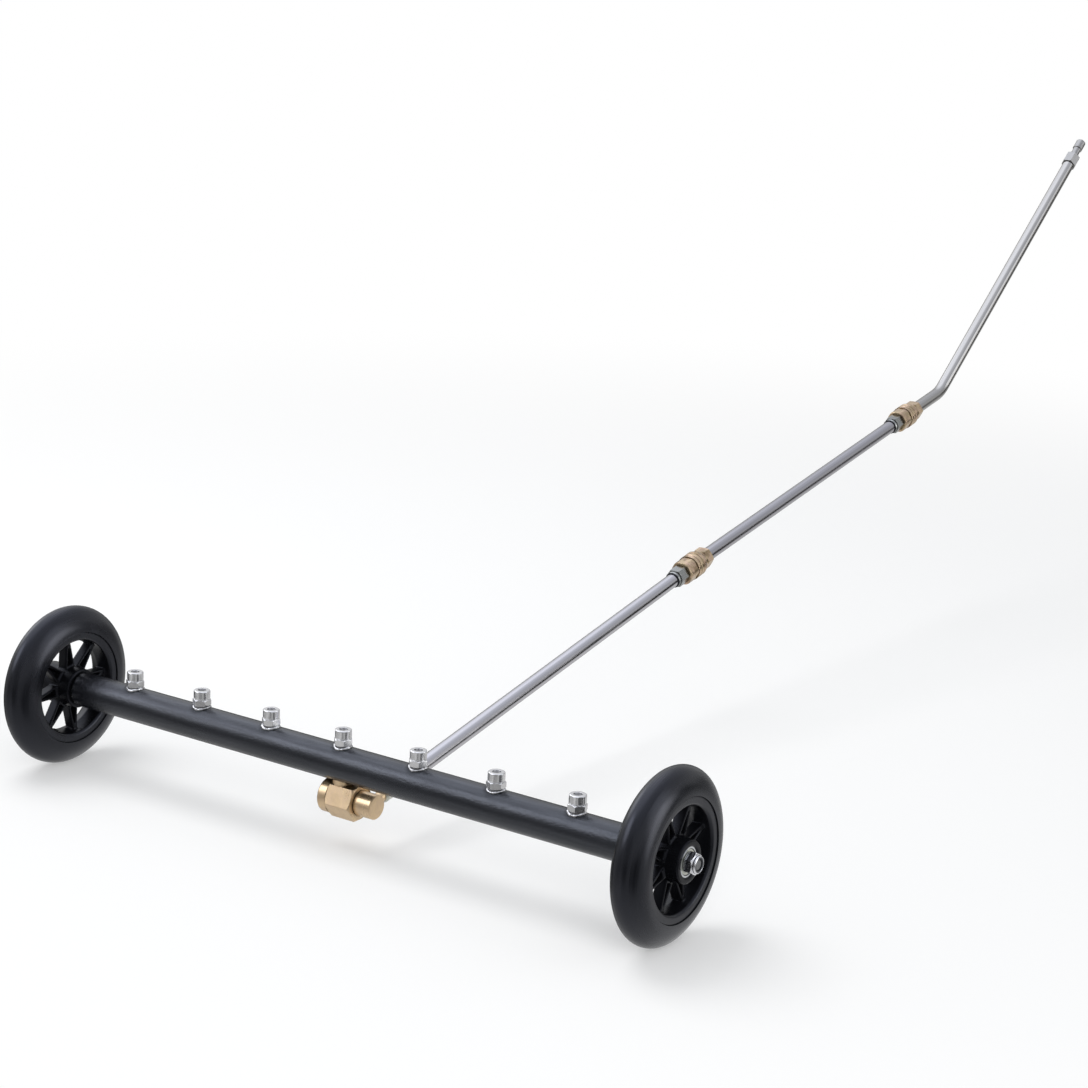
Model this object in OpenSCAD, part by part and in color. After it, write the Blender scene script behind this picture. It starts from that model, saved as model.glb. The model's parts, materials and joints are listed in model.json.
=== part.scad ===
// Wheeled undercarriage sprayer: a steel spray bar with upward nozzles between two wheels,
// a brass swivel under the bar, and a three-piece screwed wand that feeds and steers it.
// X runs along the bar, +Y points from the bar towards the user, +Z is up, z = 0 is the ground.

/* [Bar] */
// Length of the spray bar between its end faces
bar_length = 616; // [600:2:660]
// Outer diameter of the spray bar
bar_od = 32; // [31:0.5:33]
// Wall thickness of the spray bar
bar_wall = 3; // [2.5:0.5:3.5]

/* [Nozzles] */
// Number of spray nozzles along the bar
nozzle_count = 7; // [3:2:7]
// Distance between neighbouring nozzles
nozzle_pitch = 81.2; // [70:0.2:82]
// Height of the nozzle top above the bar's axis
nozzle_top = 31.3; // [29:0.1:32]
// Width across the flats of the nozzle's lower hexagon
nozzle_af = 15; // [14:0.1:15.4]

/* [Wheels] */
// Outer diameter of the tyre
wheel_d = 150; // [148:1:156]
// Width of the tyre
tyre_w = 32; // [31:0.5:32.5]
// Number of spokes
spoke_count = 8; // [6:1:9]
// Turn of the left wheel's spokes
left_wheel_turn = 95.8; // [0:0.1:360]
// Turn of the right wheel's spokes
right_wheel_turn = 111.5; // [0:0.1:360]

/* [Swivel] */
// Distance from the bar's axis down to the swivel's axis
swivel_drop = 33.74; // [33.4:0.02:35]
// Tilt of the swivel's inlet port from the vertical
port_tilt = 7.5; // [5:0.5:10]
// Width across the flats of the swivel's hexagonal body
swivel_af = 30.6; // [30:0.1:31]

/* [Wand] */
// Distance of the wand's plane from the middle of the bar
wand_x = 26.5; // [26.4:0.1:27]
// Outer diameter of the wand tubes
tube_od = 14; // [13.8:0.1:14.2]
// Wall thickness of the wand tubes
tube_wall = 1.5; // [1.2:0.1:1.8]
// Rise of the lower tube above the horizontal
lower_rise = 11.9; // [8:0.1:20]
// Rise of the middle tube above the horizontal
middle_rise = 10.65; // [7:0.05:19]
// Rise of the upper tube beyond its elbow
upper_rise = 37.5; // [30:0.05:50]
// Distance from the swivel's axis to the slight set in the middle tube
set_station = 574; // [570:1:600]
// Distance from that set to the corner of the elbow
elbow_reach = 534.5; // [530:0.5:560]
// Distance from the elbow's corner to the wand's end
end_reach = 453.4; // [400:0.1:500]
// Centre line radius of the elbow
elbow_r = 45; // [40:1:60]

/* [Hidden] */
$fn = 64;

// Gap between parts that turn on each other
running = 0.05;
// Length by which a cutter passes the face it opens
over = 1;

// Bar and its weld bushes
bar_r = bar_od / 2;
bar_bore_r = bar_r - bar_wall;
bung_r = 6.3;
bung_top = bar_r + 1.3;
bung_depth = bar_r - bar_wall - 2.5;
bung_thread_r = 4.85;
plug_depth = 18;

// Nozzle tiers, all heights above the bar's axis
nozzle_hex_foot = bung_top;
nozzle_step = nozzle_top - 8.2;
nozzle_cap_r = 7.45;
nozzle_cap_af = 14.4;
nozzle_shank_r = bung_thread_r - running;
nozzle_shank_foot = bar_r - bar_wall - 1;
nozzle_bore_r = 2;
insert_r = 3.8;
insert_h = 2.4;
insert_sink = 2.2;
orifice_r = 0.75;
orifice_slot = 1.3;
nozzle_turns = [26, 28, 20, 12, 10, 32, 48];

// Bearings: 10 mm bore, 26 mm outside, 8 mm wide
bearing_bore_r = 5.02;
bearing_r = 13;
bearing_w = 8;
inner_race_r = 7.35;
outer_race_bore_r = 11.3;
ball_r = 2.381;
ball_pitch_r = 9.1;
ball_count = 7;
race_groove_r = ball_r + running;
shield_t = 0.35;
shield_sink = 0.55;
cage_foot = -1.4;
cage_w = 4.3;

// Wheel hub, rim and tyre, all distances along the axle from the wheel's middle
wheel_r = wheel_d / 2;
hub_half = 20.1;
bearing_face = 19.2;
hub_r = 18.5;
hub_core_r = 11;
spacer_r = 6.9;
rim_side_r = wheel_r - 22.2;
rim_seat_r = wheel_r - 25.5;
rim_bore_r = wheel_r - 30;
rim_throat_r = wheel_r - 32;
rim_flare_r = wheel_r - 24.3;
rim_half = tyre_w / 2 - 1.25;
spoke_root_r = 17;
spoke_root_w = 11.2;
spoke_tip_w = 4.2;
spoke_depth = 9.9;
spoke_back = -2.2;
spoke_web = 2.4;
spoke_wall = 1.9;

// Axle stack outside the bar's end face
shoulder_w = 4.2;
shoulder_r = 7.2;
stud_r = 5;
nut_af = 17;
nut_h = 10.4;
nut_collar_r = 7.55;
nut_collar_h = 2.8;
insert_ring_t = 2.2;
insert_ring_r = 6.3;
stud_end = 9.6;
nut_face = bar_length / 2 + shoulder_w + 2 * bearing_face;
wheel_x = bar_length / 2 + shoulder_w + bearing_face;

// Welded bush that takes the swivel's nipple
inlet_bung_r = 9.5;
inlet_bung_face = swivel_drop - bar_r - 0.8;
inlet_bung_h = bar_wall + 3;

// Swivel
pivot_y = swivel_drop * sin(port_tilt);
pivot_z = -swivel_drop * cos(port_tilt);
swivel_left = -19.4;
swivel_collar_end = -10;
swivel_right = 17.3;
swivel_collar_r = 15.65;
swivel_bore_r = 8;
swivel_pocket_r = 11.5;
swivel_pocket_end = -13.5;
stem_r = swivel_bore_r - running;
barrel_r = 11.1;
barrel_start = swivel_right + 0.15;
barrel_end = 35.4;
seal_minor_r = 0.86;
seal_major_r = 7.08;
seal_groove_r = 6.2;
seal_groove_w = 2.6;
seal_places = [-8, 11];
nipple_r = 6.55;
nipple_bore_r = 4;
neck_r = 5;
neck_reach = 30;

// Wand
tube_r = tube_od / 2;
tube_bore_r = tube_r - tube_wall;
foot_start = 18;
foot_end = 46;
tube_start = 34;
set_r = 150;
bend_swell = 0.02;
bend_lap = 0.6;
set_tangent = set_r * tan((lower_rise - middle_rise) / 2);
elbow_angle = upper_rise - middle_rise;
elbow_tangent = elbow_r * tan(elbow_angle / 2);

// Couplers, measured from the front face of the brass nut, positive up the wand
lower_coupler = 520.3;
upper_coupler = 997.3;
fitting_back = -13;
fitting_collar_l = 3.8;
fitting_collar_r = 8.3;
fitting_af = 17.6;
spigot_r = 8;
spigot_l = 13;
nut_rim = 3.7;
tail_stem_r = 6.6;
tail_waist_r = 10.3;
socket_depth = 12;
nut_ring_l = 14;
nut_l = 33;
tail_start = 33.3;
tail_hex = 36;
tail_end = 46.3;
tail_af = 19.8;
coupler_bore_r = 3.5;
nose_r = 5.4;
nose_tip = 5.5;

// Quick plug, measured from the wand's end back down the tube
plug_hex_end = -27.8;
plug_hex_start = -44;
plug_af = 16.4;
plug_nose_r = 5.95;
plug_neck_r = 4.8;
plug_neck_l = 14.3;
plug_bore_r = 3;
plug_chamfer = 1;

// The part's origin lies on the ground below the middle of its bounding box
wand_end_y = pivot_y + set_station * cos(lower_rise) + elbow_reach * cos(middle_rise)
    + end_reach * cos(upper_rise) + (plug_nose_r - plug_chamfer) * sin(upper_rise);
bar_y = (wheel_r - wand_end_y) / 2;

// ---------------------------------------------------------------- placing

// Origin on the bar's axis, in the middle of the bar
module at_bar() {
    translate([0, bar_y, wheel_r]) children();
}

// Turns +Z of the children along +X
module along_x() {
    rotate([0, 90, 0]) children();
}

// Repeats the children at both ends of the bar, pointing outwards
module both_ends() {
    at_bar() children();
    at_bar() mirror([1, 0, 0]) children();
}

// Wheel's middle on the axle, +Z along +X
module at_wheel(side) {
    at_bar() translate([side * wheel_x, 0, 0]) along_x() children();
}

// Swivel axis on X, +Z up through the inlet port
module at_port() {
    at_bar() translate([0, pivot_y, pivot_z]) rotate([port_tilt, 0, 0]) children();
}

// Swivel axis at the wand's plane, +Y along the lower tube
module at_pivot() {
    at_bar() translate([wand_x, pivot_y, pivot_z]) rotate([lower_rise, 0, 0]) children();
}

// A station on the lower tube, +Z up the wand
module on_lower(station) {
    at_pivot() translate([0, station, 0]) rotate([-90, 0, 0]) children();
}

// The corner of the slight set, +Y along the middle tube
module at_set() {
    at_pivot() translate([0, set_station, 0]) rotate([middle_rise - lower_rise, 0, 0]) children();
}

// A station on the middle tube, counted from the pivot, +Z up the wand
module on_middle(station) {
    at_set() translate([0, station - set_station, 0]) rotate([-90, 0, 0]) children();
}

// The corner of the elbow, +Y along the upper tube
module at_elbow() {
    at_set() translate([0, elbow_reach, 0]) rotate([elbow_angle, 0, 0]) children();
}

// A place on the upper tube, counted from its end, +Z up the wand
module on_upper(place) {
    at_elbow() translate([0, end_reach + place, 0]) rotate([-90, 0, 0]) children();
}

// ---------------------------------------------------------------- shared shapes

// Round tube standing on z = 0
module pipe(outer, bore, length) {
    difference() {
        cylinder(r = outer, h = length);
        translate([0, 0, -over]) cylinder(r = bore, h = length + 2 * over);
    }
}

// Solid of revolution about Z from radius and height pairs
module turned(points) {
    rotate_extrude() polygon(points);
}

// Hexagonal prism by its width across flats
module hexagon(af, length) {
    cylinder(r = af / 2 / cos(30), h = length, $fn = 6);
}

// Hexagon with its corners turned off at 30 degrees at the foot and at the top
module chamfered_hexagon(af, length, foot, top) {
    flat_r = af / 2 - 0.1;
    corner_r = af / 2 / cos(30) + 0.05;
    slope = (corner_r - flat_r) * tan(30);
    intersection() {
        hexagon(af, length);
        turned([
            [0, 0],
            [foot ? flat_r : corner_r, 0],
            [corner_r, foot ? slope : 0],
            [corner_r, top ? length - slope : length],
            [top ? flat_r : corner_r, length],
            [0, length]
        ]);
    }
}

// Rubber ring lying round Z
module o_ring(major, minor) {
    rotate_extrude() translate([major, 0]) circle(r = minor, $fn = 32);
}

// Arc of tube that starts at the origin along +Y and bends towards +Z. Its skin stands a hair
// proud, so that the straight stretches lap into it.
module tube_arc(bend_r, angle) {
    translate([0, 0, bend_r]) rotate([0, 90, 0]) rotate_extrude(angle = angle, $fn = 128)
        translate([bend_r, 0]) difference() {
            circle(r = tube_r + bend_swell, $fn = 64);
            circle(r = tube_bore_r - bend_swell, $fn = 64);
        }
}

// ---------------------------------------------------------------- spray bar

function nozzle_x(i) = (i - (nozzle_count - 1) / 2) * nozzle_pitch;

module manifold_bar() {
    color("#26282b") at_bar() difference() {
        translate([-bar_length / 2, 0, 0]) along_x() pipe(bar_r, bar_bore_r, bar_length);
        for (i = [0 : nozzle_count - 1])
            translate([nozzle_x(i), 0, 0]) cylinder(r = bung_r, h = bar_od);
        rotate([180 + port_tilt, 0, 0]) cylinder(r = inlet_bung_r, h = bar_od);
    }
}

// Welded disc and shoulder at each end, tapped for the axle stud
module end_plugs() {
    color("#26282b") both_ends() translate([bar_length / 2, 0, 0]) along_x() difference() {
        turned([
            [0, -plug_depth],
            [bar_bore_r - 1, -plug_depth],
            [bar_bore_r, 1 - plug_depth],
            [bar_bore_r, 0],
            [shoulder_r + 0.8, 0],
            [shoulder_r, 0.8],
            [shoulder_r, shoulder_w],
            [0, shoulder_w]
        ]);
        translate([0, 0, 3 - plug_depth]) cylinder(r = stud_r, h = 2 * plug_depth);
    }
}

// Threaded bush welded into the bar under each nozzle
module nozzle_bungs() {
    color("#c9cacc") at_bar() for (i = [0 : nozzle_count - 1])
        translate([nozzle_x(i), 0, 0]) difference() {
            turned([
                [0, bung_depth],
                [bung_r, bung_depth],
                [bung_r, bung_top - 0.5],
                [bung_r - 0.5, bung_top],
                [0, bung_top]
            ]);
            cylinder(r = bung_thread_r, h = bar_od);
        }
}

// Nozzle body: hexagon for the spanner, round cap with narrow flats, hollow shank
module spray_nozzle() {
    cap_h = nozzle_top - nozzle_step;
    difference() {
        union() {
            translate([0, 0, nozzle_hex_foot])
                chamfered_hexagon(nozzle_af, nozzle_step - nozzle_hex_foot, true, true);
            translate([0, 0, nozzle_step]) intersection() {
                hexagon(nozzle_cap_af, cap_h);
                turned([
                    [0, 0],
                    [nozzle_cap_r - 0.7, 0],
                    [nozzle_cap_r - 0.7, 0.7],
                    [nozzle_cap_r, 1.1],
                    [nozzle_cap_r, cap_h - 0.7],
                    [nozzle_cap_r - 0.7, cap_h],
                    [0, cap_h]
                ]);
            }
            translate([0, 0, nozzle_shank_foot])
                cylinder(r = nozzle_shank_r, h = nozzle_hex_foot - nozzle_shank_foot);
        }
        translate([0, 0, nozzle_shank_foot - over]) cylinder(r = nozzle_bore_r, h = bar_od);
        translate([0, 0, nozzle_top - insert_sink - insert_h])
            cylinder(r = insert_r, h = insert_sink + insert_h + over);
    }
}

module spray_nozzles() {
    color("#cfd0d2") at_bar() for (i = [0 : nozzle_count - 1])
        translate([nozzle_x(i), 0, 0]) rotate([0, 0, nozzle_turns[i]]) spray_nozzle();
}

// Hardened disc in each nozzle with a fan slot over its orifice
module orifice_insert() {
    difference() {
        turned([
            [0, 0],
            [insert_r, 0],
            [insert_r, insert_h - 0.4],
            [insert_r - 0.4, insert_h],
            [0, insert_h]
        ]);
        translate([0, 0, -over]) cylinder(r = orifice_r, h = insert_h + 2 * over);
        translate([0, 0, insert_h + 0.2]) rotate([45, 0, 0])
            cube([2 * insert_r + over, orifice_slot, orifice_slot], center = true);
        translate([0, 0, -over]) cylinder(r1 = nozzle_bore_r + 0.9, r2 = 0.4, h = insert_h + 0.4);
    }
}

module orifice_inserts() {
    color("#8f9194") at_bar() for (i = [0 : nozzle_count - 1])
        translate([nozzle_x(i), 0, nozzle_top - insert_sink - insert_h])
            rotate([0, 0, nozzle_turns[i]]) orifice_insert();
}

// ---------------------------------------------------------------- inlet and swivel housing

module inlet_bung() {
    color("#26282b") at_port() translate([0, 0, inlet_bung_face])
        pipe(inlet_bung_r, nipple_r, inlet_bung_h);
}

module inlet_nipple() {
    nipple_foot = swivel_bore_r + 0.6;
    nipple_top = swivel_drop - bar_bore_r + 3.5;
    color("#c9a566") at_port() translate([0, 0, nipple_foot]) difference() {
        turned([
            [0, 0],
            [nipple_r - 0.6, 0],
            [nipple_r, 0.6],
            [nipple_r, nipple_top - nipple_foot - 0.6],
            [nipple_r - 0.6, nipple_top - nipple_foot],
            [0, nipple_top - nipple_foot]
        ]);
        translate([0, 0, -over]) cylinder(r = nipple_bore_r, h = swivel_drop);
    }
}

// Housing: hexagon with a flat square to the inlet port, and a turned collar on the left
module swivel_body() {
    hex_l = swivel_right - swivel_collar_end;
    collar_l = swivel_collar_end - swivel_left;
    color("#c9a566") at_port() difference() {
        union() {
            translate([swivel_collar_end, 0, 0]) along_x() rotate([0, 0, 30])
                chamfered_hexagon(swivel_af, hex_l, true, true);
            translate([swivel_left, 0, 0]) along_x() turned([
                [0, 0],
                [swivel_collar_r - 1.2, 0],
                [swivel_collar_r, 1.2],
                [swivel_collar_r, collar_l],
                [0, collar_l]
            ]);
        }
        translate([swivel_left - over, 0, 0]) along_x()
            cylinder(r = swivel_bore_r, h = swivel_right - swivel_left + 2 * over);
        translate([swivel_left - over, 0, 0]) along_x()
            cylinder(r = swivel_pocket_r, h = swivel_pocket_end - swivel_left + over);
        cylinder(r = nipple_r, h = swivel_af);
    }
}

module swivel_end_cap() {
    cap_t = 1.8;
    color("#c9a566") at_port() translate([swivel_left + 0.3, 0, 0]) along_x() turned([
        [0, 0.5],
        [6, 0.5],
        [7.5, 0],
        [swivel_pocket_r, 0],
        [swivel_pocket_r, cap_t],
        [0, cap_t]
    ]);
}

// ---------------------------------------------------------------- axles

module axle_studs() {
    stud_foot = 3 - plug_depth;
    stud_top = shoulder_w + bearing_face + bearing_face + stud_end;
    color("#b9bcc0") both_ends() translate([bar_length / 2, 0, 0]) along_x() turned([
        [0, stud_foot],
        [stud_r, stud_foot],
        [stud_r, stud_top - 1],
        [stud_r - 1, stud_top],
        [0, stud_top]
    ]);
}

// Distance piece between the inner races of each wheel
module bearing_spacers() {
    half = bearing_face - bearing_w;
    color("#b9bcc0") both_ends() translate([wheel_x - half, 0, 0]) along_x()
        pipe(spacer_r, bearing_bore_r, 2 * half);
}

// Repeats the children at the two bearings of a wheel, centred on each
module at_bearings() {
    for (end = [-1, 1])
        translate([0, 0, end * (bearing_face - bearing_w / 2)]) children();
}

module inner_race() {
    rotate_extrude() difference() {
        translate([bearing_bore_r, -bearing_w / 2]) square([inner_race_r - bearing_bore_r, bearing_w]);
        translate([ball_pitch_r, 0]) circle(r = race_groove_r);
    }
}

module outer_race() {
    rotate_extrude() difference() {
        translate([outer_race_bore_r, -bearing_w / 2]) square([bearing_r - outer_race_bore_r, bearing_w]);
        translate([ball_pitch_r, 0]) circle(r = race_groove_r);
    }
}

module bearing_inner_races() {
    color("#c4c7ca") for (side = [-1, 1])
        at_wheel(side) at_bearings() inner_race();
}

// Locking nut with a rolled collar over its plastic ring
module locking_nut() {
    hex_h = nut_h - nut_collar_h;
    difference() {
        union() {
            chamfered_hexagon(nut_af, hex_h, true, true);
            turned([
                [0, hex_h - 1],
                [nut_collar_r, hex_h - 1],
                [nut_collar_r, nut_h - 1.2],
                [nut_collar_r - 0.5, nut_h - 0.3],
                [nut_collar_r - 1.4, nut_h],
                [0, nut_h]
            ]);
        }
        translate([0, 0, -over]) cylinder(r = stud_r, h = nut_h + 2 * over);
        translate([0, 0, nut_h - insert_ring_t - 0.4]) cylinder(r = insert_ring_r, h = nut_h);
    }
}

module axle_nuts() {
    color("#d3d6da") both_ends() translate([nut_face, 0, 0]) along_x() locking_nut();
}

module nut_inserts() {
    color("#8aa0b8") both_ends() translate([nut_face + nut_h - insert_ring_t - 0.4, 0, 0]) along_x()
        pipe(insert_ring_r, stud_r, insert_ring_t);
}

// ---------------------------------------------------------------- wheels

// Oval section of the tyre: side arcs and a crown arc that run into each other
module tyre_oval() {
    crown_r = 11.5;
    depth = 23;
    half = tyre_w / 2;
    mid_r = wheel_r - depth;
    a = depth - crown_r;
    side_r = (half * half + a * a - crown_r * crown_r) / (2 * (half - crown_r));
    reach = side_r - half;
    join = mid_r + side_r * a / (side_r - crown_r);
    intersection() {
        translate([mid_r, -reach]) circle(r = side_r, $fn = 180);
        translate([mid_r, reach]) circle(r = side_r, $fn = 180);
        translate([0, -half]) square([join, tyre_w]);
    }
    intersection() {
        translate([wheel_r - crown_r, 0]) circle(r = crown_r, $fn = 96);
        translate([join, -half]) square([wheel_r, tyre_w]);
    }
}

// Section of the rim from its throat to the seat that grips the tyre. Its inside flares wide
// at the back, and is nearly straight at the front.
module rim_section() {
    polygon([
        [rim_throat_r, 0],
        [rim_bore_r, -rim_half / 2],
        [rim_flare_r - 0.8, -rim_half + 1],
        [rim_flare_r, -rim_half],
        [rim_side_r, -rim_half],
        [rim_side_r, -rim_half + 2.5],
        [rim_seat_r, -rim_half + 4.5],
        [rim_seat_r, -2.5],
        [rim_seat_r + 2.5, -1.5],
        [rim_seat_r + 2.5, 1.5],
        [rim_seat_r, 2.5],
        [rim_seat_r, rim_half - 4.5],
        [rim_side_r, rim_half - 2.5],
        [rim_side_r, rim_half],
        [rim_bore_r + 1.4, rim_half - 0.2],
        [rim_bore_r, rim_half - 1.6]
    ]);
}

// Spoke along +X: a tapered channel, web behind and two side walls in front
module spoke() {
    tip_r = rim_throat_r + 1;
    root = spoke_root_w / 2;
    tip = spoke_tip_w / 2;
    inset_tip = max(tip - spoke_wall, 0.3);
    difference() {
        translate([0, 0, spoke_back]) linear_extrude(height = spoke_depth)
            polygon([[spoke_root_r, -root], [tip_r, -tip], [tip_r, tip], [spoke_root_r, root]]);
        translate([0, 0, spoke_back + spoke_web]) linear_extrude(height = spoke_depth)
            polygon([
                [spoke_root_r + 3.4, -root + spoke_wall],
                [rim_throat_r - 2, -inset_tip],
                [rim_throat_r - 2, inset_tip],
                [spoke_root_r + 3.4, root - spoke_wall]
            ]);
    }
}

module rim(turn) {
    seat = bearing_face - bearing_w;
    difference() {
        union() {
            turned([
                [0, -hub_half],
                [hub_r - 1, -hub_half],
                [hub_r - 0.4, 0.6 - hub_half],
                [hub_r + 0.5, 0],
                [hub_r - 0.4, hub_half - 0.6],
                [hub_r - 1, hub_half],
                [0, hub_half]
            ]);
            rotate_extrude() rim_section();
            rotate([0, 0, turn]) for (i = [0 : spoke_count - 1])
                rotate([0, 0, i * 360 / spoke_count]) spoke();
        }
        translate([0, 0, -hub_half - over]) cylinder(r = hub_core_r, h = 2 * hub_half + 2 * over);
        for (end = [0, 1])
            mirror([0, 0, end]) translate([0, 0, seat]) cylinder(r = bearing_r, h = hub_half);
        for (end = [0, 1])
            mirror([0, 0, end]) translate([0, 0, bearing_face + 0.3])
                cylinder(r1 = bearing_r, r2 = bearing_r + 0.7, h = hub_half - bearing_face - 0.3 + 0.001);
    }
}

// Solid tyre: the oval outside the rim, and a foot that fills the rim's seat
module tyre() {
    rotate_extrude($fn = 180) difference() {
        tyre_oval();
        translate([0, -tyre_w]) square([rim_side_r, 2 * tyre_w]);
    }
    rotate_extrude($fn = 180) difference() {
        translate([rim_seat_r, -rim_half + 2.5])
            square([rim_side_r - rim_seat_r, 2 * rim_half - 5]);
        rim_section();
    }
}

module rim_left() {
    color("#2b2c2f") at_wheel(-1) rim(left_wheel_turn);
}

module rim_right() {
    color("#2b2c2f") at_wheel(1) rim(right_wheel_turn);
}

module tyre_left() {
    color("#303134") at_wheel(-1) tyre();
}

module tyre_right() {
    color("#303134") at_wheel(1) tyre();
}

module outer_races_left() {
    color("#c4c7ca") at_wheel(-1) at_bearings() outer_race();
}

module outer_races_right() {
    color("#c4c7ca") at_wheel(1) at_bearings() outer_race();
}

// Dust shields on both faces of a bearing, held in the outer race
module shields() {
    for (end = [0, 1])
        mirror([0, 0, end]) translate([0, 0, bearing_w / 2 - shield_sink - shield_t])
            pipe(outer_race_bore_r, inner_race_r + 0.25, shield_t);
}

module bearing_shields_left() {
    color("#a9acb0") at_wheel(-1) at_bearings() shields();
}

module bearing_shields_right() {
    color("#a9acb0") at_wheel(1) at_bearings() shields();
}

module at_balls() {
    for (i = [0 : ball_count - 1])
        rotate([0, 0, i * 360 / ball_count]) translate([ball_pitch_r, 0, 0]) children();
}

module bearing_balls(side) {
    color("#dcdfe2") at_wheel(side) at_bearings() at_balls() sphere(r = ball_r, $fn = 32);
}

module bearing_balls_left() {
    bearing_balls(-1);
}

module bearing_balls_right() {
    bearing_balls(1);
}

// Crown cage: a ring whose round pockets are open on one side
module ball_cages(side) {
    color("#dcd6c4") at_wheel(side) at_bearings() difference() {
        translate([0, 0, cage_foot]) pipe(ball_pitch_r + 0.8, ball_pitch_r - 0.8, cage_w);
        at_balls() sphere(r = ball_r + running, $fn = 32);
    }
}

module ball_cages_left() {
    ball_cages(-1);
}

module ball_cages_right() {
    ball_cages(1);
}

// ---------------------------------------------------------------- swivel, moving half

// Barrel with a closed end, the grooved stem inside the housing and the neck for the wand
module swivel_stem() {
    stem_end = swivel_left + 2.4;
    clip_groove = [-15.6, -14.3];
    channel = [-3.4, 4];
    color("#c9a566") difference() {
        union() {
            at_pivot() translate([-wand_x, 0, 0]) along_x() turned([
                [0, stem_end],
                [stem_r - 0.6, stem_end],
                [stem_r, stem_end + 0.6],
                [stem_r, clip_groove[0]],
                [stem_r - 1, clip_groove[0]],
                [stem_r - 1, clip_groove[1]],
                [stem_r, clip_groove[1]],
                [stem_r, seal_places[0] - seal_groove_w / 2],
                [seal_groove_r, seal_places[0] - seal_groove_w / 2],
                [seal_groove_r, seal_places[0] + seal_groove_w / 2],
                [stem_r, seal_places[0] + seal_groove_w / 2],
                [stem_r, channel[0]],
                [stem_r - 2, channel[0]],
                [stem_r - 2, channel[1]],
                [stem_r, channel[1]],
                [stem_r, seal_places[1] - seal_groove_w / 2],
                [seal_groove_r, seal_places[1] - seal_groove_w / 2],
                [seal_groove_r, seal_places[1] + seal_groove_w / 2],
                [stem_r, seal_places[1] + seal_groove_w / 2],
                [stem_r, barrel_start],
                [barrel_r - 0.5, barrel_start],
                [barrel_r, barrel_start + 0.5],
                [barrel_r, barrel_end - 0.9],
                [barrel_r - 0.9, barrel_end],
                [0, barrel_end]
            ]);
            on_lower(0) cylinder(r = neck_r, h = neck_reach);
        }
        at_pivot() translate([channel[0], 0, 0] - [wand_x, 0, 0]) along_x()
            cylinder(r = 2.8, h = wand_x - channel[0] + 2);
        at_pivot() translate([-wand_x + 0.3, 0, 0]) for (a = [0, 90])
            rotate([a, 0, 0]) translate([0, 0, -stem_r]) cylinder(r = 2, h = 2 * stem_r);
        on_lower(0) cylinder(r = 3, h = neck_reach + over);
    }
}

module swivel_seals() {
    color("#1d1d1f") for (place = seal_places)
        at_pivot() translate([place - wand_x, 0, 0]) along_x() o_ring(seal_major_r, seal_minor_r);
}

module swivel_washer() {
    color("#d9d6cc") at_pivot() translate([-14.25 - wand_x, 0, 0]) along_x()
        pipe(11.2, swivel_bore_r, 0.65);
}

// Open retaining ring in the stem's groove
module swivel_clip() {
    color("#6d7074") at_pivot() translate([-15.5 - wand_x, 0, 0]) along_x() difference() {
        pipe(9.6, stem_r - 0.9, 1.15);
        translate([0, -1.6, -over]) cube([12, 3.2, 4]);
    }
}

// ---------------------------------------------------------------- wand

// Steel adapter from the swivel's neck to the lower tube
module wand_foot() {
    color("#d0d1d4") on_lower(0) difference() {
        turned([
            [0, foot_start],
            [tube_r - 1.4, foot_start],
            [tube_r, foot_start + 1.4],
            [tube_r, tube_start],
            [tube_bore_r - 0.05, tube_start],
            [tube_bore_r - 0.05, foot_end],
            [0, foot_end]
        ]);
        cylinder(r = neck_r, h = neck_reach + 1);
        cylinder(r = coupler_bore_r, h = foot_end + over);
    }
}

module wand_tube_lower() {
    color("#b4b4bd") on_lower(tube_start)
        pipe(tube_r, tube_bore_r, lower_coupler + fitting_back + socket_depth - tube_start);
}

// The middle tube leaves its socket in line with the lower tube and takes a slight downward set
module wand_tube_middle() {
    start = lower_coupler + tail_end - socket_depth;
    finish = upper_coupler + fitting_back + socket_depth;
    color("#b4b4bd") {
        on_lower(start) pipe(tube_r, tube_bore_r, set_station - set_tangent + bend_lap - start);
        at_pivot() translate([0, set_station - set_tangent, 0]) mirror([0, 0, 1])
            tube_arc(set_r, lower_rise - middle_rise);
        on_middle(set_station + set_tangent - bend_lap)
            pipe(tube_r, tube_bore_r, finish - set_station - set_tangent + bend_lap);
    }
}

// The upper tube is bent upwards at its elbow and ends inside the plug
module wand_tube_upper() {
    start = upper_coupler + tail_end - socket_depth;
    elbow_start = set_station + elbow_reach - elbow_tangent;
    straight = end_reach - elbow_tangent + plug_hex_start + socket_depth;
    color("#b4b4bd") {
        on_middle(start) pipe(tube_r, tube_bore_r, elbow_start + bend_lap - start);
        at_set() translate([0, elbow_reach - elbow_tangent, 0]) tube_arc(elbow_r, elbow_angle);
        on_upper(elbow_tangent - end_reach - bend_lap)
            pipe(tube_r, tube_bore_r, straight + bend_lap);
    }
}

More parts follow.
